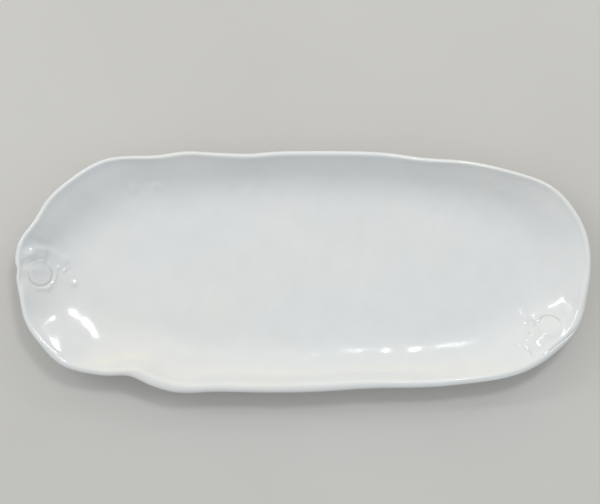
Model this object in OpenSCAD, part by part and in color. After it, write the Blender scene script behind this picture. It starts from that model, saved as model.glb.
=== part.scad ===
// Hand-built china serving platter: one slab-formed dish with its lip, feet and two pinned darts.
// The platter stands on Z = 0 with its length along X. The origin is under its middle.

/* [Platter] */
// Length over the lip, along X
platter_l = 500; // [420:5:560]
// Width over the lip, along Y
platter_w = 211; // [180:1:240]
// Height of the lip above the table, midway along the long sides
platter_h = 34; // [30:1:37]
// Thickness of the rolled clay slab
clay_t = 6.5; // [5:0.5:8]
// Squareness of the outline: 2 is an ellipse, larger is boxier
squareness = 2.8; // [2.2:0.1:3.4]

/* [Wall] */
// Width of the rising wall along the two long sides, seen from above
wall_side = 44; // [38:1:50]
// Width of the rising wall at the two ends, seen from above
wall_end = 52; // [44:1:60]
// Slope of the wall where it meets the lip, in degrees
wall_angle = 45; // [42:1:50]
// How much higher the lip is at the ends than at the sides
end_lift = 2.5; // [0:0.5:5]

/* [Feet] */
// Height of the foot ring and the rib
foot_h = 6; // [4:0.5:9]
// How far the foot ring stands in from the edge of the flat underside
foot_inset = 14; // [8:0.5:16]
// Width of the ring's own clay strip, and of the rib's
foot_t = 8; // [6:0.5:11]
// Length of the rib that holds up the middle of the floor
rib_l = 190; // [120:5:200]

/* [Darts] */
// How far a flap of overlapped clay stands above the wall
flap_rise = 2.6; // [2:0.1:3.5]
// Diameter of the pressed clay button on each dart
button_d = 20.5; // [17:0.5:22]
// Height of a button from its seat to the top of its raised rim
button_h = 2.8; // [2.2:0.1:4]
// Width of the groove between a button and its flap
groove_w = 0.5; // [0.3:0.1:1]

/* [Hidden] */

glaze_white = [0.86, 0.87, 0.86];
glaze_shade = [0.82, 0.83, 0.83];
bare_clay = [0.84, 0.80, 0.74];

// Where the hand pushed the edge out or in: [direction in degrees, spread in degrees, push in mm].
edge_swells = [
    [128, 8, 7.5], [113, 4, 2.5], [101, 5, -2], [66, 6, -2.5], [39, 8, 3],
    [347, 11, -2.5], [313, 9, 3.5], [284, 10, -3], [246, 5, 3.5], [236, 3.5, -4.5],
    [222, 7, 5.5], [193, 11, -3], [179, 2.5, -1.5], [154, 10, -7]];
// The same for the height of the lip.
lip_swells = [
    [130, 12, 1.2], [95, 14, -0.8], [55, 10, 0.8], [20, 10, -0.6],
    [320, 9, 1], [290, 12, -0.7], [243, 7, 1.4], [212, 8, 0.9]];

stations = 120;               // sections around the outline
floor_rings = [0.4, 0.75, 1]; // rings across the floor, as shares of the well
wall_steps = 9;               // steps up the wall
lip_steps = 8;                // steps round the lip
lip_lengths = 12;             // lengths of coil laid end to end round the lip, which divide stations
lip_joint = 0.05;             // width of the joint between two lengths

floor_z = foot_h + clay_t;                            // inside floor, above the table
well_a = platter_l / 2 - wall_end;
well_b = platter_w / 2 - wall_side;
well_squareness = 2.4;
wall_w = (wall_side + wall_end) / 2;                  // the section is drawn at this width
wall_run = wall_w - clay_t / 2 * (1 + sin(wall_angle));
wall_rise = platter_h - floor_z - clay_t / 2 * (1 - cos(wall_angle));
wall_power = tan(wall_angle) * wall_run / wall_rise;  // the wall rises as this power of the run

foot_a = well_a - foot_inset;
foot_b = well_b - foot_inset;
foot_edges = [[0, 0.5, 1], [0.5, 1.4, 0.4], [1.4, foot_h, 0]]; // softened foot: low, high, inset

seat_rise = 1.3;               // a button's seat, above the wall at its middle
pad_depth = 2.5;               // how deep the pad round a button is bedded in the wall
pad_d = button_d + 7;
button_bead = 1.1;             // radius of the button's raised rim
button_dish = 1;               // how far the button's middle lies below its rim

function mix(a, b, t) = a + (b - a) * t;
function turn(a) = a - 360 * floor((a + 180) / 360);
function swell(table, phi) =
    [for (s = table) s[2] * exp(-pow(turn(phi - s[0]) / s[1], 2))] * [for (s = table) 1];

// Points of a rounded oval and the outward direction there.
function oval(phi, a, b, n) =
    let (r = pow(pow(abs(cos(phi)), n) + pow(abs(sin(phi)), n), -1 / n))
    [a * r * cos(phi), b * r * sin(phi)];
function outward(p, a, b, n) =
    let (g = [sign(p.x) * pow(abs(p.x / a), n - 1) / a, sign(p.y) * pow(abs(p.y / b), n - 1) / b])
    g / norm(g);

function well(phi) = oval(phi, well_a, well_b, well_squareness);
function edge_raw(phi) =
    let (p = oval(phi, platter_l / 2, platter_w / 2, squareness))
    p + swell(edge_swells, phi) * outward(p, platter_l / 2, platter_w / 2, squareness);

// The swells move the outline a little, so it is scaled and centred back to the stated size.
raw_outline = [for (phi = [0:359]) edge_raw(phi)];
raw_x = [for (p = raw_outline) p.x];
raw_y = [for (p = raw_outline) p.y];
fit = [platter_l / (max(raw_x) - min(raw_x)), platter_w / (max(raw_y) - min(raw_y))];
centre = [(max(raw_x) + min(raw_x)) / 2, (max(raw_y) + min(raw_y)) / 2];
function edge(phi) =
    let (p = edge_raw(phi) - centre)
    [p.x * fit.x, p.y * fit.y];

// Directions spaced so that the stations are evenly far apart along the edge.
run_table = [for (phi = 0, run = 0; phi <= 360;
                  run = run + norm(edge(phi + 1) - edge(phi)), phi = phi + 1) [run, phi]];
directions = [for (i = [0:stations - 1]) lookup(i / stations * run_table[360][0], run_table)];

// Extra height of the lip at a direction, and the share of it that a point of the section takes.
function lip_lift(phi) = end_lift * pow(cos(phi), 4) + swell(lip_swells, phi);
function section_point(phi, across, z) =
    let (p = mix(well(phi), edge(phi), across))
    [p.x, p.y, z + lip_lift(phi) * pow(max(across, 0), 2)];

// The wall's section, as [distance from the well, height]: inside face, lip, and outside face.
function wall_slope(s) = atan(wall_power * wall_rise / wall_run * pow(s, wall_power - 1));
function wall_inside(s) = [wall_run * s, floor_z + wall_rise * pow(s, wall_power)];
function wall_outside(s) = wall_inside(s) + clay_t * [sin(wall_slope(s)), -cos(wall_slope(s))];
function lip_round(t) =
    let (c = (wall_inside(1) + wall_outside(1)) / 2, a = wall_angle + 90 - 180 * t)
    c + clay_t / 2 * [cos(a), sin(a)];
function ring(p) = [for (phi = directions) section_point(phi, p.x / wall_w, p.y)];
function flat_ring(share, z) = [for (phi = directions) concat(well(phi) * share, z)];

// Triangles between ring a and ring b of points listed one ring after another.
function band(a, b) = [
    for (i = [0:stations - 1])
    let (j = (i + 1) % stations, p = a * stations, q = b * stations)
    each [[p + i, q + i, q + j], [p + i, q + j, p + j]]];

// Height and slope of the inside face above any point of the plan.
function side_of(p, phi) =
    let (a = well(phi), d = edge(phi) - a)
    d.x * (p.y - a.y) - d.y * (p.x - a.x);
function direction_of(p, low, high, n = 20) =
    let (m = (low + high) / 2)
    n == 0 ? m : side_of(p, m) > 0 ? direction_of(p, m, high, n - 1) : direction_of(p, low, m, n - 1);
function inside_point(p) =
    let (
        guess = atan2(p.y / platter_w, p.x / platter_l),
        phi = direction_of(p, guess - 25, guess + 25),
        d = edge(phi) - well(phi),
        across = max(0, (p - well(phi)) * d / (d * d)),
        s = min(1, across * wall_w / wall_run))
    [p.x, p.y, wall_inside(s).y + lip_lift(phi) * across * across];
function inside_normal(p) =
    let (
        z = inside_point(p).z,
        n = [z - inside_point(p + [1, 0]).z, z - inside_point(p + [0, 1]).z, 1])
    n / norm(n);

module platter_body() {
    inside = [for (i = [1:wall_steps]) ring(wall_inside(i / wall_steps))];
    outside = [for (i = [wall_steps:-1:1]) ring(wall_outside(i / wall_steps))];
    top_floor = [for (share = floor_rings) flat_ring(share, floor_z)];
    under_floor = [for (i = [len(floor_rings) - 1:-1:0]) flat_ring(floor_rings[i], foot_h)];
    rings = concat(top_floor, inside, outside, under_floor);
    last = len(rings) - 1;
    middle = len(rings) * stations;
    points = concat([for (r = rings) each r], [[0, 0, floor_z], [0, 0, foot_h]]);
    top_fan = [for (i = [0:stations - 1]) [middle, i, (i + 1) % stations]];
    under_fan = [for (i = [0:stations - 1])
        [middle + 1, last * stations + (i + 1) % stations, last * stations + i]];
    walls = [for (k = [0:last - 1]) each band(k, k + 1)];
    color(glaze_white)
        polyhedron(points, [for (f = concat(top_fan, walls, under_fan)) [f[0], f[2], f[1]]]);
}

// The lip's half round section at a place between stations, such as 3.25.
function lip_section(place) =
    let (
        i = floor(place),
        ends = [for (phi = [directions[i % stations], directions[(i + 1) % stations]])
            [for (k = [0:lip_steps])
                let (p = lip_round(k / lip_steps))
                section_point(phi, p.x / wall_w, p.y)]])
    mix(ends[0], ends[1], place - i);

// One length of the coil, from one station to another, with half a joint left free at each end.
module lip_length(first, last, joint) {
    trim = joint / 2 * stations / run_table[360][0];
    places = concat([first + trim], [for (i = [first + 1:last - 1]) i], [last - trim]);
    row = lip_steps + 1;
    end = (len(places) - 1) * row;
    sides = [
        for (i = [0:len(places) - 2], k = [0:lip_steps])
        let (a = i * row + k, b = i * row + (k + 1) % row, c = b + row, d = a + row)
        each k < lip_steps ? [[a, c, b], [a, d, c]] : [[b, a, d], [b, d, c]]];
    caps = [for (k = [1:lip_steps - 1]) each [[0, k, k + 1], [end, end + k + 1, end + k]]];
    polyhedron([for (place = places) each lip_section(place)], concat(sides, caps));
}

module lip_coil() {
    span = stations / lip_lengths;
    color(glaze_white)
        for (i = [0:lip_lengths - 1])
            lip_length(i * span, (i + 1) * span, lip_joint);
}

// One flat layer of the foot ring, drawn in by inset on all sides.
module foot_layer(low, high, inset) {
    ovals = [for (t = [inset, foot_t - inset])
        [for (phi = [0:4:356]) oval(phi, foot_a - t, foot_b - t, well_squareness)]];
    translate([0, 0, low])
        linear_extrude(high - low)
            difference() {
                polygon(ovals[0]);
                polygon(ovals[1]);
            }
}

module rib_layer(low, high, inset) {
    straight = rib_l - foot_t;
    translate([0, 0, low])
        linear_extrude(high - low) {
            square([straight, foot_t - 2 * inset], center = true);
            for (x = [-1, 1])
                translate([x * straight / 2, 0])
                    circle(d = foot_t - 2 * inset, $fn = 48);
        }
}

module foot_ring() {
    color(bare_clay)
        for (e = foot_edges)
            foot_layer(e[0], e[1], e[2]);
}

module foot_rib() {
    color(bare_clay)
        for (e = foot_edges)
            rib_layer(e[0], e[1], e[2]);
}

// A dart is a flap of the wall drawn over its neighbour. Its spine is a list of
// [x, y, half width] in the plan, as shares of the platter's half length and half width.
left_spine = [
    [-0.962, 0.06, 5], [-0.945, 0.14, 6.5], [-0.90, 0.16, 6.5], [-0.86, 0.13, 6],
    [-0.835, 0.10, 4], [-0.813, 0.085, 1.6]];
left_root = [-0.912, 0.01, 8];
left_centre = [-0.912, -0.021];
right_spine = [
    [0.925, -0.46, 3.5], [0.88, -0.51, 5], [0.84, -0.58, 6.5], [0.80, -0.62, 6.5],
    [0.775, -0.60, 5], [0.765, -0.52, 4.5], [0.78, -0.44, 4]];
right_root = [0.845, -0.48, 8];
right_centre = [0.854, -0.445];

function plan(p) = [p.x * platter_l / 2, p.y * platter_w / 2];

// Puts a shape on the wall at a point of the plan, rise above it and square to it.
module on_wall(p, rise) {
    n = inside_normal(p);
    translate(inside_point(p) + n * rise)
        rotate([0, acos(n.z), atan2(n.y, n.x)])
            children();
}

// A flattened lump of clay bedded in the wall, with its top flap_rise above it.
module lump(p) {
    half_h = min(flap_rise, p[2] / 2);
    on_wall(plan(p), flap_rise - half_h)
        scale([p[2], p[2], half_h])
            sphere(1, $fn = 24);
}

module flap(spine, root, centre) {
    difference() {
        union() {
            for (i = [0:len(spine) - 2])
                hull() {
                    lump(spine[i]);
                    lump(spine[i + 1]);
                }
            for (p = spine)
                hull() {
                    lump(p);
                    lump(root);
                }
            on_wall(plan(centre), -pad_depth)
                cylinder(d1 = pad_d + 2, d2 = pad_d - 3, h = pad_depth + flap_rise, $fn = 64);
        }
        on_wall(plan(centre), seat_rise)
            cylinder(d = button_d + 2 * groove_w, h = 4 * flap_rise, $fn = 64);
        platter_body();
        lip_length(0, stations, 0);
    }
}

module button(centre) {
    on_wall(plan(centre), seat_rise)
        rotate_extrude($fn = 96)
            union() {
                square([button_d / 2, button_h - button_bead - button_dish / 2]);
                square([button_d / 2 - button_bead, button_h - button_dish]);
                translate([button_d / 2 - button_bead, button_h - button_bead])
                    circle(button_bead, $fn = 24);
                translate([button_d / 2 - 2 * button_bead, 0])
                    square([2 * button_bead, button_h - button_bead]);
            }
}

module left_dart_flap() color(glaze_shade) flap(left_spine, left_root, left_centre);
module left_button() color(glaze_white) button(left_centre);
module right_dart_flap() color(glaze_shade) flap(right_spine, right_root, right_centre);
module right_button() color(glaze_white) button(right_centre);

platter_body();
lip_coil();
foot_ring();
foot_rib();
left_dart_flap();
left_button();
right_dart_flap();
right_button();
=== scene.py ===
"""A long white serving platter, formed by hand from a slab, with a lapped and buttoned dart near each end.

Every shape is worked out in millimetres, in the CAD's own frame, and mesh_piece() turns it into metres.
The clay pieces share one surface: wall_points() gives the plain dish, and marked() adds the hands' marks.
Each piece shows its own region of that surface and dips under its neighbours at the edges.
"""
import math

import bpy
import numpy as np
from mathutils import Matrix, Vector


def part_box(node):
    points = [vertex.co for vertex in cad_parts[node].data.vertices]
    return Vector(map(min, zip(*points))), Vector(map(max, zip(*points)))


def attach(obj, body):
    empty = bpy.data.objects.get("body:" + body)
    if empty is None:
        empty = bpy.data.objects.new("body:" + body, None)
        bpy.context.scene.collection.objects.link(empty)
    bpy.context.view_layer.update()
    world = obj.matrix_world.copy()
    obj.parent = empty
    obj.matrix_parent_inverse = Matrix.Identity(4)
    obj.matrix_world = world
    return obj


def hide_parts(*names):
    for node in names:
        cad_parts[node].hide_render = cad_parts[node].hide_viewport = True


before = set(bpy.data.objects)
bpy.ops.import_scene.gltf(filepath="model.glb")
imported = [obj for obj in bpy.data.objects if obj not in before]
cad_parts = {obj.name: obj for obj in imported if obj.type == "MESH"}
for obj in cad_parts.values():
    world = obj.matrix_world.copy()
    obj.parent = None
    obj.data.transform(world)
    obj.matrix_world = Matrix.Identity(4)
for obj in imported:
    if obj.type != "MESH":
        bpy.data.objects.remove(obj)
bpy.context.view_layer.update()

MM = 0.001


# ---------------------------------------------------------------- sizes that the frame gives
def cad_corners(node):
    return [np.array(corner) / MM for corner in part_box(node)]


def cad_middle(node):
    low, high = cad_corners(node)
    return (low + high) / 2


def cad_floor_top():
    """The height of the inside floor: the highest point of the body near the middle."""
    points = np.array([v.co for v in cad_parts["platter_body"].data.vertices]) / MM
    return points[np.hypot(points[:, 0], points[:, 1]) < 1, 2].max()


LIP_LOW, LIP_HIGH = cad_corners("lip_coil")
LENGTH, WIDTH = (LIP_HIGH - LIP_LOW)[:2]
UNDERSIDE_Z = cad_corners("platter_body")[0][2]
FLOOR_Z = cad_floor_top()
CLAY = FLOOR_Z - UNDERSIDE_Z
FOOT_HIGH = cad_corners("foot_ring")[1]
RIB_LOW, RIB_HIGH = cad_corners("foot_rib")


# ---------------------------------------------------------------- helpers
def ease(t):
    """A smooth step from 0 to 1 as t goes from 0 to 1."""
    t = np.clip(t, 0, 1)
    return t * t * (3 - 2 * t)


def turned_from(phi, at):
    """How far phi lies round from a direction, -180 to 180 degrees."""
    return (phi - at + 180) % 360 - 180


# ---------------------------------------------------------------- the outline, as in the CAD
LIP_HEIGHT = 34.0
SQUARENESS, WELL_SQUARENESS = 2.8, 2.4
WALL_SIDE, WALL_END = 44.0, 52.0
END_LIFT = 2.5
# Where the hand pushed the edge out, in, up or down: direction and spread in degrees, push.
EDGE_SWELLS = [
    (128, 8, 7.5), (113, 4, 2.5), (101, 5, -2), (66, 6, -2.5), (39, 8, 3), (347, 11, -2.5), (313, 9, 3.5),
    (284, 10, -3), (246, 5, 3.5), (236, 3.5, -4.5), (222, 7, 5.5), (193, 11, -3), (179, 2.5, -1.5),
    (154, 10, -7)]
LIP_SWELLS = [
    (130, 12, 1.2), (95, 14, -0.8), (55, 10, 0.8), (20, 10, -0.6), (320, 9, 1), (290, 12, -0.7),
    (243, 7, 1.4), (212, 8, 0.9)]
# The lip rolls outwards further along the front than along the back.
ROLL_BACK, ROLL_FRONT = 2.6, 5.6
ROLL_SWELLS = [(237, 12, 2.2), (205, 14, -1.5)]


def swell(table, phi):
    """The sum of a table's pushes at phi, in degrees."""
    return sum(push * np.exp(-(turned_from(phi, at) / spread) ** 2) for at, spread, push in table)


def oval(phi, a, b, n):
    """Points of a squarish oval with half axes a and b. The higher n is, the squarer."""
    c, s = np.cos(np.radians(phi)), np.sin(np.radians(phi))
    r = (np.abs(c) ** n + np.abs(s) ** n) ** (-1 / n)
    return np.stack([a * r * c, b * r * s], -1)


def oval_normal(p, a, b, n):
    """The outward way at points p of an oval."""
    share = p / [a, b]
    g = np.sign(share) * np.abs(share) ** (n - 1) / [a, b]
    return g / np.linalg.norm(g, axis=-1, keepdims=True)


def rough_edge(phi):
    """The pushed outline, before it is fitted to the CAD's length and width."""
    p = oval(phi, LENGTH / 2, WIDTH / 2, SQUARENESS)
    return p + swell(EDGE_SWELLS, phi)[..., None] * oval_normal(p, LENGTH / 2, WIDTH / 2, SQUARENESS)


ROUGH = rough_edge(np.arange(0, 360, 0.5))
EDGE_CENTRE = (ROUGH.max(0) + ROUGH.min(0)) / 2
EDGE_FIT = np.array([LENGTH, WIDTH]) / (ROUGH.max(0) - ROUGH.min(0))


def edge(phi):
    """The platter's outermost line."""
    return (rough_edge(phi) - EDGE_CENTRE) * EDGE_FIT


def well(phi):
    """Where the floor turns up into the wall."""
    return oval(phi, LENGTH / 2 - WALL_END, WIDTH / 2 - WALL_SIDE, WELL_SQUARENESS)


def crest_z(phi):
    """The height of the lip, which lifts towards both ends."""
    return LIP_HEIGHT + END_LIFT * np.cos(np.radians(phi)) ** 4 + swell(LIP_SWELLS, phi)


# ---------------------------------------------------------------- the section through the wall
def section(phi):
    """Control points of a cubic B-spline round the wall at each phi: (distance in from the edge, height).

    They run up the inside, over the lip and down the outside."""
    w = np.linalg.norm(edge(phi) - well(phi), axis=-1)
    top = crest_z(phi)
    rise = top - FLOOR_Z
    front = np.clip(-np.sin(np.radians(phi)), 0, 1)
    roll = ROLL_BACK + (ROLL_FRONT - ROLL_BACK) * front ** 0.7 + swell(ROLL_SWELLS, phi)
    zero = 0 * w
    wall = [(1.0, 0.0), (0.80, 0.06), (0.63, 0.17), (0.47, 0.345), (0.33, 0.565)]
    slant = [0.4, 1.4, 2.4, 3.4, 4.2]  # how far out the outside lies from the inside, in plan
    drop = [1.0, 0.98, 0.93, 0.86, 0.8]  # and how far below it, as a share of the clay
    inside = [(w + 30, zero + FLOOR_Z), (w + 14, zero + FLOOR_Z)]
    inside += [(w * across, FLOOR_Z + rise * up) for across, up in wall]
    lip = [
        (roll + 3.9, top - 2.6), (roll + 1.2, top + 0.5), (roll * 0.3, top - 0.2),
        (zero - 0.1, top - 2.6), (zero + 0.2, top - 5.4), (zero + 3.6, top - 7.6)]
    outside = [(w + 30, zero + UNDERSIDE_Z), (w + 14, zero + UNDERSIDE_Z)]
    outside += [
        (w * across - out, FLOOR_Z + rise * up - CLAY * down)
        for (across, up), out, down in zip(wall, slant, drop)]
    return np.stack([np.stack(p, -1) for p in inside + lip + outside[::-1]], 1)


# Places along the section are counted in spans of its spline, from the floor up the inside.
SPANS = 20 - 3  # the section has 20 control points
CREST_U = 7.35  # about where the inside meets the top of the lip
SPLIT_IN, SPLIT_OUT = 5.2, 10.6  # where the lip's coil meets the slab, inside and outside
BODY_OVERLAP, LIP_OVERLAP = 0.36, 0.4  # how far the slab and the coil run on past the split
SEAM_SINK = 1.6  # how deep each has sunk under the other by then, in millimetres


def spline(control, u):
    """Points of the B-splines at u. control is (n, k, 2), and u is (n, m)."""
    i = np.clip(np.floor(u).astype(int), 0, control.shape[1] - 4)
    t = (u - i)[..., None]
    rows = np.arange(len(control))[:, None]
    a, b, c, d = (control[rows, i + k] for k in range(4))
    return (
        (1 - t) ** 3 * a + (3 * t ** 3 - 6 * t ** 2 + 4) * b
        + (-3 * t ** 3 + 3 * t ** 2 + 3 * t + 1) * c + t ** 3 * d) / 6


def wall_points(phi, u):
    """Points of the wall at directions phi (n) and places u (n, m) along the section."""
    d, z = np.moveaxis(spline(section(phi), u), -1, 0)
    e, inward = edge(phi), well(phi) - edge(phi)
    inward = inward / np.linalg.norm(inward, axis=-1, keepdims=True)
    return np.dstack([e[:, None, :] + inward[:, None, :] * d[..., None], z])


# ---------------------------------------------------------------- the marks of the hands
def waves(p, seed, count, shortest, longest):
    """A smooth random height of about 1, from plane waves of the given lengths."""
    draw = np.random.default_rng(seed)
    total = np.zeros(p.shape[:-1])
    for _ in range(count):
        angle, phase = draw.uniform(0, 2 * np.pi, 2)
        k = 2 * np.pi / draw.uniform(shortest, longest)
        total += np.sin(k * (p[..., 0] * math.cos(angle) + p[..., 1] * math.sin(angle)) + phase)
    return total / math.sqrt(count / 2)


SLAB_SEED = 3


def undulation(p):
    """How uneven the slab is, in height."""
    return 0.32 * waves(p, SLAB_SEED, 9, 70, 160) + 0.10 * waves(p, SLAB_SEED + 1, 16, 16, 42)


def distance_along(p, line):
    """Distance from each p to a smoothed line, its side (1 is left) and how far along it lies, 0 to 1."""
    best = np.full(p.shape[:-1], 1e9)
    side, along = np.ones_like(best), np.zeros_like(best)
    line = smooth_line(line)
    pieces = len(line) - 1
    for k in range(pieces):
        a, d = line[k], line[k + 1] - line[k]
        q = p - a
        t = np.clip((q @ d) / (d @ d), 0, 1)
        away = np.linalg.norm(q - t[..., None] * d, axis=-1)
        near = away < best
        best = np.where(near, away, best)
        side = np.where(near, np.sign(d[0] * q[..., 1] - d[1] * q[..., 0]), side)
        along = np.where(near, (k + t) / pieces, along)
    return best, side, along


def smooth_line(line, steps=4):
    """A curve through the line's points."""
    p = np.array(line, float)
    if len(p) < 3:
        return p
    q = np.vstack([2 * p[0] - p[1], p, 2 * p[-1] - p[-2]])
    t = (np.arange(steps) / steps)[:, None]
    spans = [
        0.5 * (2 * b + (c - a) * t + (2 * a - 5 * b + 4 * c - d) * t ** 2 + (3 * b - a - 3 * c + d) * t ** 3)
        for a, b, c, d in zip(q, q[1:], q[2:], q[3:])]
    return np.vstack(spans + [p[-1:]])


def stroke(p, line, left, right, height, fade):
    """A ridge, or with a negative height a groove, along a line.

    left and right are how wide it is on either side. It fades out over a share of its length, fade, at
    both ends."""
    away, side, along = distance_along(p, line)
    ends = ease(np.minimum(along, 1 - along) / fade)
    return height * np.where(side > 0, np.exp(-(away / left) ** 2), np.exp(-(away / right) ** 2)) * ends


def away_from_ellipse(p, radii):
    """About how far p lies outside an ellipse round the origin."""
    return (np.hypot(p[..., 0] / radii[0], p[..., 1] / radii[1]) - 1) * (radii[0] + radii[1]) / 2


def ring_mark(p, radii, width, height, start, end, soft):
    """A ridge or groove round an ellipse, from one angle to another, fading over soft degrees."""
    angle = (np.degrees(np.arctan2(p[..., 1], p[..., 0])) - start) % 360
    reach = (end - start) % 360
    past = np.where(angle < reach, 0, np.minimum(angle - reach, 360 - angle))
    return height * np.exp(-(away_from_ellipse(p, radii) / width) ** 2) * np.exp(-(past / soft) ** 2)


def bump(p, centre, size, height):
    """A round rise, or with a negative height a dip, round a centre."""
    return height * np.exp(-((p - centre) ** 2).sum(-1) / size ** 2)


def disc(p, radii, height, soft):
    """A level pad with a rounded edge of width soft."""
    return height / (1 + np.exp(away_from_ellipse(p, radii) / soft * 3))


def left_relief(p):
    """The left dart, at points p from its button's middle: a lapped fold over a pressed round pad."""
    fold = [(-16.5, 19), (-10, 20.5), (-3, 22), (4, 22), (9.5, 20.5)]
    fold_end = [(4, 22.5), (10, 20.5), (15, 17.0), (20.5, 12.5), (25, 9)]
    lobe_edge = [(25.5, 8.5), (22, 5.5), (18.5, 2.5), (15.5, -1)]
    return (
        stroke(p, fold, 2.8, 11, 1.5, 0.35)
        + stroke(p, [(-11.5, 17), (-7, 18.2), (-3, 19)], 3.0, 4.5, 1.3, 0.6)
        + bump(p, (-10.5, 17.2), 3, 1.0)
        + stroke(p, fold_end, 2.2, 5, 0.9, 0.4)
        + stroke(p, [(-8, 34), (-4.5, 31), (3, 26), (8, 23.8), (12.5, 21)], 3.2, 3.2, -1.0, 0.5)
        + bump(p, (18.5, 11), 5.5, 0.7)
        + stroke(p, lobe_edge, 1.2, 2.4, 0.3, 0.35)
        + stroke(p, [(4.5, 11.4), (7.5, 8), (10, 3.5)], 1.3, 1.3, 0.35, 0.3)
        + bump(p, (14, 5.9), 1.5, 0.7) + bump(p, (18.5, 3.4), 1.4, 0.45)
        + bump(p, (6.0, -12.8), 2.0, 0.75) + bump(p, (26.8, -8.2), 3.0, 1.05)
        + stroke(p, [(22, 4), (22.5, -3), (21.5, -12)], 5, 5, 0.6, 0.4)
        + stroke(p, [(-12, 15), (-13.8, 9), (-15, 0), (-15.3, -9), (-14.5, -20)], 3.6, 2.0, -1.0, 0.35)
        + disc(p, (8.6, 9.5), 0.3, 2.2)
        + ring_mark(p, (9.0, 9.9), 0.85, -0.55, 215, 10, 40)
        + ring_mark(p, (9.0, 9.9), 1.0, -0.08, 10, 215, 40)
        + ring_mark(p, (11.6, 12.4), 1.5, 0.6, 270, 350, 35)
        + ring_mark(p, (12.6, 14.0), 0.9, -0.3, 95, 125, 14))


def right_relief(p):
    """The right dart, at points p from its button's middle: a roll of clay tucked under the lip."""
    roll = [(-18, -14), (-10, -10.5), (-2, -7), (6.5, -1.5), (14, 5)]
    tuck = [
        (24.5, 5), (20.8, -0.5), (14.8, -6.3), (9.5, -10.2), (3.9, -14.6), (-2.2, -19.6), (-7.4, -23.8),
        (-14, -26)]
    beak = [(-23.9, -0.4), (-25.1, -5), (-25.1, -13.5), (-26.2, -17.4)]
    return (
        bump(p, (-3, -1), 16, 2.2)
        + stroke(p, roll, 8, 5, 0.7, 0.35)
        + stroke(p, tuck, 1.0, 1.0, -0.8, 0.3)
        + stroke(p, tuck, 1.4, 8, -1.4, 0.45)
        + stroke(p, beak, 1.2, 3.4, 0.4, 0.35)
        + stroke(p, [(-24, -17.5), (-20, -20.3), (-17.2, -23.5), (-15, -28)], 2.0, 2.4, -0.75, 0.35)
        + stroke(p, [(-18.8, -17), (-16.2, -21.5), (-14.3, -27)], 1.3, 1.3, 0.4, 0.35)
        + stroke(p, [(-21, 0), (-16, 2.2), (-9.5, 3.4)], 3.6, 3.4, -1.3, 0.35)
        + stroke(p, [(-28, 26), (-26, 21.5), (-22, 15), (-20, 10), (-19.5, 6)], 4.2, 3.0, -0.5, 0.45)
        + bump(p, (-16.2, -5.2), 1.8, 0.9) + bump(p, (-18.8, -10), 1.6, 0.6)
        + bump(p, (-10, 1.5), 1.4, 0.6)
        + disc(p, (9.1, 9.1), 0.4, 2.2)
        + ring_mark(p, (9.6, 9.6), 0.8, -0.6, 50, 140, 30)
        + ring_mark(p, (9.6, 9.6), 1.0, -0.1, 140, 50, 40))


# Where a fingertip has lifted or pressed the wall: x, y, size, height.
PRESSED = [
    (-149, 73, 4, 0.5), (-128, 75, 3.5, 0.6), (174, 71, 5, 0.5), (-140, 82, 9, -0.5), (58, -76, 4.5, 0.6),
    (4, -77, 3.5, 0.7), (-200, -55, 16, 0.8), (-222, -38, 12, -0.7), (-182, -72, 13, -0.7),
    (164, -69, 34, -1.9)]
# The pads were pressed a little off the middles of their CAD stand-ins.
DARTS = {
    "left": (cad_middle("left_button")[:2] + (-2.5, 0), left_relief),
    "right": (cad_middle("right_button")[:2] + (3, -2), right_relief)}
DART_REACH = 46.0  # no mark of a dart lies farther from its button's middle


def dart_heights(p):
    """For each dart, the height of its marks above the plain wall at plan points p."""
    for centre, shape in DARTS.values():
        height = np.zeros(p.shape[:-1])
        near = np.linalg.norm(p - centre, axis=-1) < DART_REACH
        if near.any():
            height[near] = shape(p[near] - centre)
        yield height


def relief(p):
    """Every mark on the plain wall at plan points p, as a list of (height, way up)."""
    pressed = sum(bump(p, (x, y), size, height) for x, y, size, height in PRESSED)
    return [*zip(dart_heights(p), DART_UP.values()), (pressed, np.array([0, 0, 1.0]))]


# ---------------------------------------------------------------- finding the wall under a plan point
HALVINGS = 30  # how often a search halves its range


def section_at(p):
    """The direction and the place along the section of the inside surface under plan points p (n, 2)."""
    middle = np.degrees(np.arctan2(p[:, 1] / WIDTH, p[:, 0] / LENGTH))
    low, high = middle - 25, middle + 25
    for _ in range(HALVINGS):
        phi = (low + high) / 2
        a, d = well(phi), edge(phi) - well(phi)
        q = p - a
        left = d[:, 0] * q[:, 1] - d[:, 1] * q[:, 0] > 0
        low, high = np.where(left, phi, low), np.where(left, high, phi)
    inward = well(phi) - edge(phi)
    inward /= np.linalg.norm(inward, axis=-1, keepdims=True)
    distance = ((p - edge(phi)) * inward).sum(-1)
    control = section(phi)
    low, high = np.zeros(len(p)), np.full(len(p), CREST_U + 0.4)
    for _ in range(HALVINGS):
        u = (low + high) / 2
        inside = spline(control, u[:, None])[:, 0, 0] > distance
        low, high = np.where(inside, u, low), np.where(inside, high, u)
    return phi, u


def plain_inside(p):
    """The plain inside surface, before any mark, over plan points p (n, 2)."""
    phi, u = section_at(p)
    return wall_points(phi, u[:, None])[:, 0]


def up_from_wall(centre, reach=3.0):
    """The way that the wall faces at a plan point."""
    x, y = centre
    z = plain_inside(np.array([(x - reach, y), (x + reach, y), (x, y - reach), (x, y + reach)]))[:, 2]
    n = np.array([z[0] - z[1], z[2] - z[3], 2 * reach])
    return n / np.linalg.norm(n)


DART_UP = {name: up_from_wall(centre) for name, (centre, _) in DARTS.items()}


def marked(points, share=1.0):
    """Points of the plain inside surface, with the slab's unevenness and a share of every mark."""
    p = points[..., :2]
    out = points.copy()
    out[..., 2] += undulation(p) * lip_calm(points)
    for height, up in relief(p):
        out += (height * share)[..., None] * up
    return out


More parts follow.
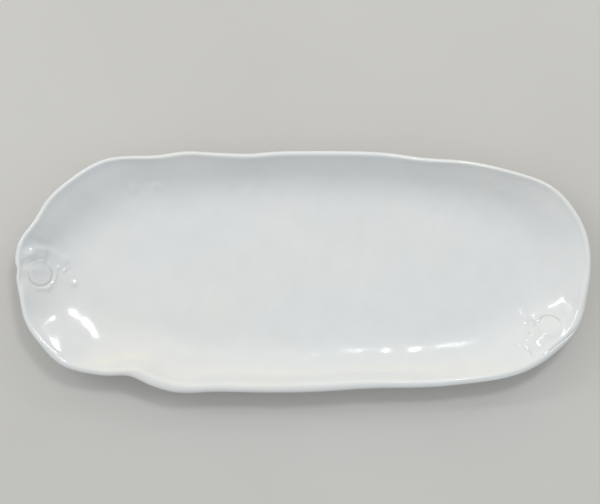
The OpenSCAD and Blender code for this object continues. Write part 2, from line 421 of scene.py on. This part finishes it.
def lip_calm(points):
    """1 over the dish, falling to a third at the lip."""
    share = np.clip((points[..., 2] - FLOOR_Z) / (LIP_HEIGHT - FLOOR_Z), 0, 1)
    return 1 - 0.67 * share ** 2


# ---------------------------------------------------------------- regions of the darts
def blob(p, capsules):
    """Distance inside a rounded region made of capsules (end, end, radius). It is negative outside."""
    best = np.full(p.shape[:-1], -1e9)
    for a, b, radius in capsules:
        away, _, _ = distance_along(p, [a, b])
        best = np.maximum(best, radius - away)
    return best


# What each flap covers, as capsules round its button's middle, and the half axes of each button.
FLAPS = {
    "left": [((-8, 16), (5, 17), 7), ((5, 16), (20, 10), 8), ((2, 0), (4, 2), 14.5), ((14, 4), (20, 6), 6)],
    "right": [((-3, 1), (-5, 0), 14), ((-15, -9), (6, -3), 9.5), ((-20, -3), (-20, -12), 7)]}
BUTTONS = {"left": (9.3, 10.2), "right": (9.8, 9.8)}
TUCK = 2.5  # width over which a piece dips under its neighbour
TUCK_DEPTH = 1.2
BED = 3.2  # how deep the pieces of a dart are bedded in the wall


def dip_under(points, region, up):
    """Lowers the points that lie inside a region, so that the piece there covers them."""
    return points - (TUCK_DEPTH * ease(region / TUCK))[..., None] * up


def dip_out(points, region, up):
    """Lowers the points that lie outside a piece's own region."""
    return points - (TUCK_DEPTH * ease(-region / TUCK))[..., None] * up


# ---------------------------------------------------------------- meshes
def grid_normals(grid):
    """Normals of rings of points. The rings run outwards, and the points of a ring anticlockwise."""
    outwards = np.gradient(grid, axis=0)
    onwards = (np.roll(grid, -1, 1) - np.roll(grid, 1, 1)) / 2
    n = np.cross(outwards, onwards)
    return n / np.maximum(np.linalg.norm(n, axis=-1, keepdims=True), 1e-12)


def ring_faces(rows, columns, close_rows=False):
    """Quads between rings of points, for rings that run outwards on top."""
    r = np.arange(rows if close_rows else rows - 1)[:, None]
    c = np.arange(columns)[None, :]
    a, b = r * columns + c, r * columns + (c + 1) % columns
    d, e = ((r + 1) % rows) * columns + c, ((r + 1) % rows) * columns + (c + 1) % columns
    return np.stack([a, d, e, b], -1).reshape(-1, 4).tolist()


def mesh_piece(name, points, faces, node, normals=None, pool_and_shade=None):
    """A smooth mesh from points in millimetres, which rides on the platter and stands for a CAD node."""
    mesh = bpy.data.meshes.new(name)
    mesh.from_pydata((np.asarray(points) * MM).tolist(), [], faces)
    mesh.validate()
    mesh.shade_smooth()
    if normals is not None:
        mesh.normals_split_custom_set_from_vertices(np.asarray(normals).tolist())
    # This attribute holds how deep each point lies in a hollow. The glaze is darker there, partly as gathered
    # glaze and partly as painted shade.
    depth = mesh.attributes.new("pool_and_shade", "FLOAT", "POINT")
    depth.data.foreach_set("value", np.zeros(len(points)) if pool_and_shade is None else pool_and_shade)
    piece = bpy.data.objects.new(name, mesh)
    bpy.context.scene.collection.objects.link(piece)
    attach(piece, "root")
    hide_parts(node)
    return piece


def loft(rings, start_cap=None, end_cap=None, close_rows=False):
    """Points and faces of a stack of rings, with a middle point to close either end where one is given."""
    rows, columns = rings.shape[:2]
    points = rings.reshape(-1, 3)
    faces = ring_faces(rows, columns, close_rows)
    c = np.arange(columns)
    for cap, row, flip in ((start_cap, 0, False), (end_cap, rows - 1, True)):
        if cap is not None:
            a, b = row * columns + c, row * columns + (c + 1) % columns
            middle = np.full(columns, len(points))
            order = [middle, b, a] if flip else [middle, a, b]
            faces += np.stack(order, -1).tolist()
            points = np.vstack([points, cap])
    return points, faces


def evenly_round(count, extra):
    """Directions spaced evenly along the edge, and closer where a table of swells says so."""
    phi = np.arange(0, 360, 0.25)
    p = edge(phi)
    step = np.linalg.norm(np.roll(p, -1, 0) - p, axis=1) * (1 + swell(extra, phi))
    run = np.concatenate([[0], np.cumsum(step)])
    return np.interp(np.arange(count) / count * run[-1], run, np.append(phi, 360))


def hollows(points, reach=1.6):
    """How deep each point lies in a groove of the marks, where the glaze gathers and where shade is painted
    darker.
    """
    plan = points[..., :2]
    steps = reach * np.array([(1, 0), (-1, 0), (0, 1), (0, -1)])
    around = sum(sum(dart_heights(plan + step)) for step in steps) / len(steps)
    return around - sum(dart_heights(plan))


STATIONS = 760
# The stations stand closer at the darts and at the front left corner.
PHI = evenly_round(STATIONS, [(180, 14, 1.6), (327, 14, 1.6), (225, 14, 0.6)])


def inside_grid(u):
    """Rings of the plain wall at the places u along the section."""
    return np.swapaxes(wall_points(PHI, np.tile(u, (STATIONS, 1))), 0, 1)


def flat_rings(u, z, shares):
    """Rings of the flat middle at height z: shares of the section's end at u."""
    rings = inside_grid(np.array([u])) * shares[:, None, None]
    rings[..., 2] = z
    return rings


def dip_under_flaps(shown, base):
    """Lowers the points where a dart's flap covers them. base is where they lie on the plain wall."""
    for name, (centre, _) in DARTS.items():
        shown = dip_under(shown, blob(base[..., :2] - centre, FLAPS[name]), DART_UP[name])
    return shown


EVEN_BELOW = 4.0  # the outside is even at the underside, and as uneven as the inside this far above it


def sink(points, normals, share):
    """Sinks rings of points at a seam, each ring by its share of the full depth."""
    return points - normals * (SEAM_SINK * share ** 2)[:, None, None]


def body_piece():
    """The slab: floor, wall and outside, with its upper edge tucked inside the coil of the lip."""
    u_in = np.concatenate([np.linspace(0, 4, 42), np.linspace(4, SPLIT_IN + BODY_OVERLAP, 20)[1:]])
    u_out = np.concatenate([np.linspace(SPLIT_OUT - BODY_OVERLAP, 12, 10), np.linspace(12, SPANS, 18)[1:]])
    shares = np.concatenate([np.linspace(0.04, 0.8, 22), np.linspace(0.8, 1, 15)[1:-1]])
    shares_under = np.linspace(1, 0.04, 8)[1:]
    base_in = np.concatenate([flat_rings(0.0, FLOOR_Z, shares), inside_grid(u_in)])
    true_in = marked(base_in)
    normals_in = grid_normals(true_in)
    shown_in = dip_under_flaps(true_in, base_in)
    past_in = np.concatenate([np.zeros(len(shares)), np.clip((u_in - SPLIT_IN) / BODY_OVERLAP, 0, 1)])
    shown_in = sink(shown_in, normals_in, past_in)

    base_out = np.concatenate([inside_grid(u_out), flat_rings(float(SPANS), UNDERSIDE_Z, shares_under)])
    fade = ease((base_out[..., 2] - UNDERSIDE_Z) / EVEN_BELOW)
    true_out = base_out.copy()
    true_out[..., 2] += undulation(base_out[..., :2]) * fade * lip_calm(base_out)
    normals_out = grid_normals(true_out)
    past_out = np.clip((SPLIT_OUT - u_out) / BODY_OVERLAP, 0, 1)
    past_out = np.concatenate([past_out, np.zeros(len(shares_under))])
    shown_out = sink(true_out, normals_out, past_out)

    rings = np.concatenate([shown_in, shown_out])
    middle = marked(np.array([[0, 0, FLOOR_Z]]))[0]
    points, faces = loft(rings, start_cap=middle, end_cap=np.array([0, 0, UNDERSIDE_Z]))
    normals = np.vstack([normals_in.reshape(-1, 3), normals_out.reshape(-1, 3), [0, 0, 1], [0, 0, -1]])
    pool_and_shade = np.concatenate([hollows(base_in).ravel(), np.zeros(base_out[..., 0].size + 2)])
    return mesh_piece("slab_body", points, faces, "platter_body", normals, pool_and_shade)


MARKS_END, MARKS_FADE = 7.8, 1.5  # where the marks start to fade on top of the lip, and over how far


def lip_piece():
    """The rolled lip, with both its edges tucked into the slab."""
    u = np.concatenate([
        np.linspace(SPLIT_IN - LIP_OVERLAP, 6, 10), np.linspace(6, 9.5, 34)[1:],
        np.linspace(9.5, SPLIT_OUT + LIP_OVERLAP, 12)[1:]])
    base = inside_grid(u)
    true = marked(base, 1 - ease((u - MARKS_END) / MARKS_FADE)[:, None])
    normals = grid_normals(true)
    past = np.clip((SPLIT_IN - u) / LIP_OVERLAP, 0, 1) + np.clip((u - SPLIT_OUT) / LIP_OVERLAP, 0, 1)
    shown = sink(dip_under_flaps(true, base), normals, past)
    points, faces = loft(shown, close_rows=True)
    return mesh_piece(
        "rolled_lip", points, faces, "lip_coil", normals.reshape(-1, 3), hollows(base).ravel())


FLAP_GRID = (96, 300)  # rings and points to a ring
PAD_GRID = (40, 160)
BED_SHARES = np.array([1.0, 0.8, 0.6, 0.4, 0.2])


def bedded_patch(title, dart, reach, grid, region_own, regions_over, node):
    """A piece of a dart: its own region of the surface on a polar grid, closed by a bed under the wall."""
    centre, up = DARTS[dart][0], DART_UP[dart]
    rows, columns = grid
    angles = np.arange(columns) / columns * 2 * np.pi
    ways = np.stack([np.cos(angles), np.sin(angles)], -1)
    share = (np.linspace(0, 1, rows) ** 0.9)[1:]
    plan = centre + ways[None] * (share[:, None] * reach(ways)[None])[..., None]
    base = plain_inside(plan.reshape(-1, 2)).reshape(*plan.shape[:2], 3)
    true = marked(base)
    normals = grid_normals(true)
    shown = dip_out(true, region_own(base[..., :2] - centre), up)
    for region in regions_over:
        shown = dip_under(shown, region(base[..., :2] - centre), up)
    rows_at = np.searchsorted(share, BED_SHARES - 1e-9).clip(0, len(share) - 1)
    bed = base[rows_at] - up * BED
    middle_base = plain_inside(np.array([centre]))
    middle = marked(middle_base)
    for region in regions_over:
        middle = dip_under(middle, region(middle_base[..., :2] - centre), up)
    points, faces = loft(np.concatenate([shown, bed]), middle[0], middle_base[0] - up * BED)
    bed_normals = np.tile(-up, (bed.shape[0] * bed.shape[1], 1))
    all_normals = np.vstack([normals.reshape(-1, 3), bed_normals, up, -up])
    pool_and_shade = np.concatenate([hollows(base).ravel(), np.zeros(len(bed_normals) + 2)])
    return mesh_piece(title, points, faces, node, all_normals, pool_and_shade)


def farthest(region, limit, margin):
    """A function of ways out from the middle: how far to go along each to be margin outside a region."""
    def reach(ways):
        r = np.linspace(1, limit, 240)
        inside = region(ways[None] * r[:, None, None]) > -margin
        last = len(r) - 1 - np.argmax(inside[::-1], axis=0)
        smooth = r[last]
        for _ in range(6):
            smooth = (np.roll(smooth, 1) + 2 * smooth + np.roll(smooth, -1)) / 4
        return np.maximum(smooth, r[last] * 0.98)
    return reach


def dart_pieces(name):
    """A dart's flap and its button."""
    def flap_region(p):
        return blob(p, FLAPS[name])

    def pad_region(p):
        return -away_from_ellipse(p, BUTTONS[name])

    flap = bedded_patch(
        name + "_lapped_flap", name, farthest(flap_region, limit=60, margin=TUCK), FLAP_GRID,
        flap_region, [pad_region], name + "_dart_flap")
    pad = bedded_patch(
        name + "_pressed_button", name, farthest(pad_region, limit=20, margin=1.6), PAD_GRID,
        pad_region, [], name + "_button")
    return [flap, pad]


FOOT_HALF = 4.0  # half the width of the foot's strip


def at_height(line, z):
    """A plan line as points at height z."""
    return np.column_stack([line, np.full(len(line), z)])


def foot_ring_piece():
    """The foot: a strip of clay with a soft edge where it stands and a fillet of glaze above."""
    a, b = FOOT_HIGH[:2] - FOOT_HALF
    phi = np.arange(0, 360, 0.75)
    line = oval(phi, a, b, WELL_SQUARENESS)
    out = oval_normal(line, a, b, WELL_SQUARENESS)
    profile = [
        (-2.9, 0.0), (0.0, 0.0), (2.9, 0.0), (3.4, 0.15), (3.75, 0.55), (3.95, 1.2), (4.0, 2.2), (4.0, 3.4),
        (4.1, 4.3), (4.4, 5.1), (4.9, 5.7), (5.6, 6.0), (6.2, 6.15), (0.0, 6.3), (-6.2, 6.15), (-5.6, 6.0),
        (-4.9, 5.7), (-4.4, 5.1), (-4.1, 4.3), (-4.0, 3.4), (-4.0, 2.2), (-3.95, 1.2), (-3.75, 0.55),
        (-3.4, 0.15)]
    wobble = 1 + 0.03 * np.sin(np.radians(phi * 5 + 40)) + 0.02 * np.sin(np.radians(phi * 11))
    rings = np.stack([at_height(line + out * (x * wobble)[:, None], z) for x, z in profile])
    points, faces = loft(rings, close_rows=True)
    return mesh_piece("standing_foot", points, faces, "foot_ring")


def rib_outline(inset, count=40):
    """Round-ended outline of the rib, drawn in by inset."""
    half_w = (RIB_HIGH[1] - RIB_LOW[1]) / 2
    straight = (RIB_HIGH[0] - RIB_LOW[0]) / 2 - half_w
    t = np.linspace(-np.pi / 2, np.pi / 2, count)
    r = half_w - inset
    right = np.column_stack([straight + r * np.cos(t), r * np.sin(t)])
    top = np.column_stack([np.linspace(straight, -straight, 60)[1:-1], np.full(58, r)])
    return np.vstack([right, top, -right, -top])


def foot_rib_piece():
    """The rib, with the same soft edge and fillet as the foot, as layers of (inset, height)."""
    layers = [
        (1.4, 0.0), (1.1, 0.0), (0.6, 0.15), (0.25, 0.55), (0.05, 1.2), (0.0, 2.2), (0.0, 3.4), (-0.1, 4.3),
        (-0.4, 5.1), (-0.9, 5.7), (-1.6, 6.0), (-2.2, 6.15)]
    rings = np.stack([at_height(rib_outline(inset), z) for inset, z in layers])[::-1]
    points, faces = loft(rings, np.array([0, 0, 6.3]), np.array([0, 0, 0.0]))
    return mesh_piece("standing_rib", points, faces, "foot_rib")


# ---------------------------------------------------------------- materials
def new_material(name):
    """A material, its node tree and its shader."""
    material = bpy.data.materials.new(name)
    material.use_nodes = True
    tree = material.node_tree
    return material, tree, tree.nodes["Principled BSDF"]


def noise(tree, scale, detail=3.0, roughness=0.5):
    """Noise in the object's own space."""
    place = tree.nodes.new("ShaderNodeTexCoord")
    node = tree.nodes.new("ShaderNodeTexNoise")
    node.inputs["Scale"].default_value = scale
    node.inputs["Detail"].default_value = detail
    node.inputs["Roughness"].default_value = roughness
    tree.links.new(place.outputs["Object"], node.inputs["Vector"])
    return node.outputs["Fac"]


def ramp(tree, value, stops):
    """Colours for a value from 0 to 1, from stops of (value, colour)."""
    node = tree.nodes.new("ShaderNodeValToRGB")
    elements = node.color_ramp.elements
    while len(elements) < len(stops):
        elements.new(0.5)
    for element, (at, colour) in zip(elements, stops):
        element.position = at
        element.color = (*colour, 1)
    tree.links.new(value, node.inputs["Fac"])
    return node.outputs["Color"]


def mix(tree, share, a, b, mode="MIX"):
    """Colours a and b mixed, where each input is a socket or a constant."""
    node = tree.nodes.new("ShaderNodeMix")
    node.data_type = "RGBA"
    node.blend_type = mode
    sockets = [s for s in node.inputs if s.enabled]
    for socket, value in zip(sockets, (share, a, b)):
        if isinstance(value, (int, float, tuple)):
            socket.default_value = (*value, 1) if isinstance(value, tuple) else value
        else:
            tree.links.new(value, socket)
    return [s for s in node.outputs if s.enabled][0]


def bump_chain(tree, shader, layers):
    """Bumps one on the other: each layer is (height, strength, distance in metres)."""
    last = None
    for height, strength, distance in layers:
        node = tree.nodes.new("ShaderNodeBump")
        node.inputs["Strength"].default_value = strength
        node.inputs["Distance"].default_value = distance
        tree.links.new(height, node.inputs["Height"])
        if last is not None:
            tree.links.new(last, node.inputs["Normal"])
        last = node.outputs["Normal"]
    tree.links.new(last, shader.inputs["Normal"])


def pooled_and_shaded(tree, low, high):
    """0 on the even surface, and 1 deep in a hollow, where the colour holds gathered glaze and painted shade.
    """
    attribute = tree.nodes.new("ShaderNodeAttribute")
    attribute.attribute_name = "pool_and_shade"
    spread = tree.nodes.new("ShaderNodeMapRange")
    spread.interpolation_type = "SMOOTHSTEP"
    spread.inputs["From Min"].default_value = low
    spread.inputs["From Max"].default_value = high
    tree.links.new(attribute.outputs["Fac"], spread.inputs["Value"])
    return spread.outputs["Result"]


def glaze_material():
    """Clear gloss glaze on white clay: faint warm and cool drifts, and a darker grey in the hollows, partly
    gathered glaze and partly painted shade.
    """
    material, tree, shader = new_material("white_glaze")
    drift = ramp(tree, noise(tree, 9, 2), [(0.35, (0.80, 0.80, 0.785)), (0.65, (0.775, 0.795, 0.80))])
    cloud = ramp(tree, noise(tree, 60, 4, 0.6), [(0.3, (0.965, 0.97, 0.97)), (0.7, (1.0, 1.0, 1.0))])
    colour = mix(tree, 1.0, drift, cloud, "MULTIPLY")
    # Darker grey in the hollows: partly glaze gathered in the grooves, partly painted shade in the creases.
    colour = mix(tree, pooled_and_shaded(tree, 0.05, 0.5), colour, (0.62, 0.65, 0.65))
    tree.links.new(colour, shader.inputs["Base Color"])
    rough = tree.nodes.new("ShaderNodeMapRange")
    rough.inputs["To Min"].default_value = 0.10
    rough.inputs["To Max"].default_value = 0.20
    tree.links.new(noise(tree, 35, 3), rough.inputs["Value"])
    tree.links.new(rough.outputs["Result"], shader.inputs["Roughness"])
    shader.inputs["IOR"].default_value = 1.5
    shader.inputs["Coat Weight"].default_value = 0.6
    shader.inputs["Coat Roughness"].default_value = 0.03
    shader.inputs["Subsurface Weight"].default_value = 0.12
    shader.inputs["Subsurface Radius"].default_value = (1.0, 0.95, 0.85)
    shader.inputs["Subsurface Scale"].default_value = 0.0015
    bump_chain(tree, shader, [(noise(tree, 55, 2), 0.12, 0.0012), (noise(tree, 420, 2), 0.05, 0.0003)])
    return material


def foot_material():
    """Glaze down the sides, wiped off where the foot stands, with bare fired clay below the line."""
    material, tree, shader = new_material("foot_clay")
    place = tree.nodes.new("ShaderNodeTexCoord")
    split = tree.nodes.new("ShaderNodeSeparateXYZ")
    tree.links.new(place.outputs["Object"], split.inputs["Vector"])
    wobble = tree.nodes.new("ShaderNodeMath")
    wobble.operation = "MULTIPLY_ADD"
    wobble.inputs[1].default_value = 0.0012
    tree.links.new(noise(tree, 70, 2), wobble.inputs[0])
    tree.links.new(split.outputs["Z"], wobble.inputs[2])
    glazed = tree.nodes.new("ShaderNodeMapRange")
    glazed.inputs["From Min"].default_value = 0.0011
    glazed.inputs["From Max"].default_value = 0.0015
    tree.links.new(wobble.outputs["Value"], glazed.inputs["Value"])
    clay = ramp(tree, noise(tree, 260, 5, 0.7), [(0.3, (0.60, 0.54, 0.46)), (0.7, (0.76, 0.71, 0.63))])
    white = ramp(tree, noise(tree, 40, 3), [(0.3, (0.77, 0.775, 0.77)), (0.7, (0.80, 0.80, 0.79))])
    tree.links.new(mix(tree, glazed.outputs["Result"], clay, white), shader.inputs["Base Color"])
    rough = tree.nodes.new("ShaderNodeMapRange")
    rough.inputs["To Min"].default_value = 0.85
    rough.inputs["To Max"].default_value = 0.12
    tree.links.new(glazed.outputs["Result"], rough.inputs["Value"])
    tree.links.new(rough.outputs["Result"], shader.inputs["Roughness"])
    bump_chain(tree, shader, [(noise(tree, 900, 4, 0.7), 0.25, 0.0003)])
    return material


def floor_material():
    """The stage's floor: matt, pale and faintly cloudy."""
    material, tree, shader = new_material("pale_floor")
    tint = ramp(tree, noise(tree, 3, 3), [(0.3, (0.60, 0.585, 0.56)), (0.7, (0.64, 0.625, 0.60))])
    tree.links.new(tint, shader.inputs["Base Color"])
    shader.inputs["Roughness"].default_value = 0.7
    return material


# ---------------------------------------------------------------- stage
def floor_stage():
    """A floor 14 m across, so that its edges are out of sight."""
    half = 7.0
    corners = [(-half, -half, 0), (half, -half, 0), (half, half, 0), (-half, half, 0)]
    mesh = bpy.data.meshes.new("pale_floor")
    mesh.from_pydata(corners, [], [(0, 1, 2, 3)])
    floor = bpy.data.objects.new("pale_floor", mesh)
    bpy.context.scene.collection.objects.link(floor)
    mesh.materials.append(floor_material())


def area_light(name, place, size, watts, aim, along=(1, 0, 0)):
    """A rectangular light at a place, facing aim. Its first side lies as near the way along as it can."""
    light = bpy.data.lights.new(name, "AREA")
    light.shape = "RECTANGLE"
    light.size, light.size_y = size
    light.energy = watts
    lamp = bpy.data.objects.new(name, light)
    bpy.context.scene.collection.objects.link(lamp)
    lamp.location = place
    back = (Vector(place) - Vector(aim)).normalized()
    up = back.cross(Vector(along)).normalized()
    lamp.rotation_euler = Matrix((up.cross(back), up, back)).transposed().to_euler()


# The room's shades run from the side away from the brightest way, 0, to the brightest way, 1.
BRIGHTEST_WAY = (-0.4, 0.78, 0.48)
ROOM_SHADES = [
    (0.1, (0.36, 0.37, 0.38)), (0.45, (0.52, 0.54, 0.55)), (0.75, (0.72, 0.75, 0.76)), (1.0, (1.0, 1.0, 1.0))]
WARM_WAY = (-0.05, 0.985, 0.16)
WARM_GLOW = (1.3, 1.08, 0.66)
WARM_EDGE, WARM_FULL = 0.90, 0.985  # the cosines from the warm way at which the glow starts and is full
ROOM_STRENGTH = 0.94


def facing(tree, way, low, high, interpolation="LINEAR"):
    """How near a direction in the world is to a way: 0 where their cosine is low and 1 where it is high."""
    place = tree.nodes.new("ShaderNodeTexCoord")
    cosine = tree.nodes.new("ShaderNodeVectorMath")
    cosine.operation = "DOT_PRODUCT"
    cosine.inputs[1].default_value = way
    tree.links.new(place.outputs["Generated"], cosine.inputs[0])
    spread = tree.nodes.new("ShaderNodeMapRange")
    spread.interpolation_type = interpolation
    spread.inputs["From Min"].default_value = low
    spread.inputs["From Max"].default_value = high
    tree.links.new(cosine.outputs["Value"], spread.inputs["Value"])
    return spread.outputs["Result"]


def soft_room():
    """A world that brightens smoothly from the front to the back and overhead, with a warm glow behind."""
    world = bpy.data.worlds.new("soft_room")
    world.use_nodes = True
    tree = world.node_tree
    shade = ramp(tree, facing(tree, BRIGHTEST_WAY, -1, 1), ROOM_SHADES)
    shade = mix(tree, facing(tree, WARM_WAY, WARM_EDGE, WARM_FULL, "SMOOTHSTEP"), shade, WARM_GLOW)
    tree.links.new(shade, tree.nodes["Background"].inputs["Color"])
    tree.nodes["Background"].inputs["Strength"].default_value = ROOM_STRENGTH
    bpy.context.scene.world = world


def studio_light():
    """The room, and three small lights whose reflections are the crisp highlights on the glaze."""
    soft_room()
    area_light("window", (0.47, 0.97, 2.1), (0.34, 0.30), 9, aim=(0.1, 0, 0.02))
    area_light("low_window", (1.18, 1.30, 1.27), (0.20, 0.22), 2, aim=(-0.1, 0, 0.02))
    area_light(
        "side_window", (-1.03, 0.62, 1.03), (0.95, 0.10), 2.7, aim=(0.21, -0.03, 0.02),
        along=(-0.75, -0.52, -0.49))


# ---------------------------------------------------------------- camera
CAMERA_HEIGHT = 1.30
FRAME_WIDTH = 0.5208  # what the frame takes in across, at the lip's height
FRAME_CENTRE = (-0.0026, 0.0174)  # the platter lies a little to the front of the frame's middle


def straight_down_camera():
    """A camera over the platter, looking straight down as in the photo."""
    camera = bpy.data.cameras.new("camera")
    camera.sensor_width = 36
    camera.lens = camera.sensor_width * (CAMERA_HEIGHT - LIP_HEIGHT * MM) / FRAME_WIDTH
    holder = bpy.data.objects.new("camera", camera)
    bpy.context.scene.collection.objects.link(holder)
    holder.location = (*FRAME_CENTRE, CAMERA_HEIGHT)
    bpy.context.scene.camera = holder


def build():
    glaze, foot = glaze_material(), foot_material()
    glazed = [body_piece(), lip_piece(), *dart_pieces("left"), *dart_pieces("right")]
    for piece in glazed:
        piece.data.materials.append(glaze)
    for piece in (foot_ring_piece(), foot_rib_piece()):
        piece.data.materials.append(foot)
    floor_stage()
    studio_light()
    straight_down_camera()
    bpy.context.scene.view_settings.view_transform = "Standard"


build()
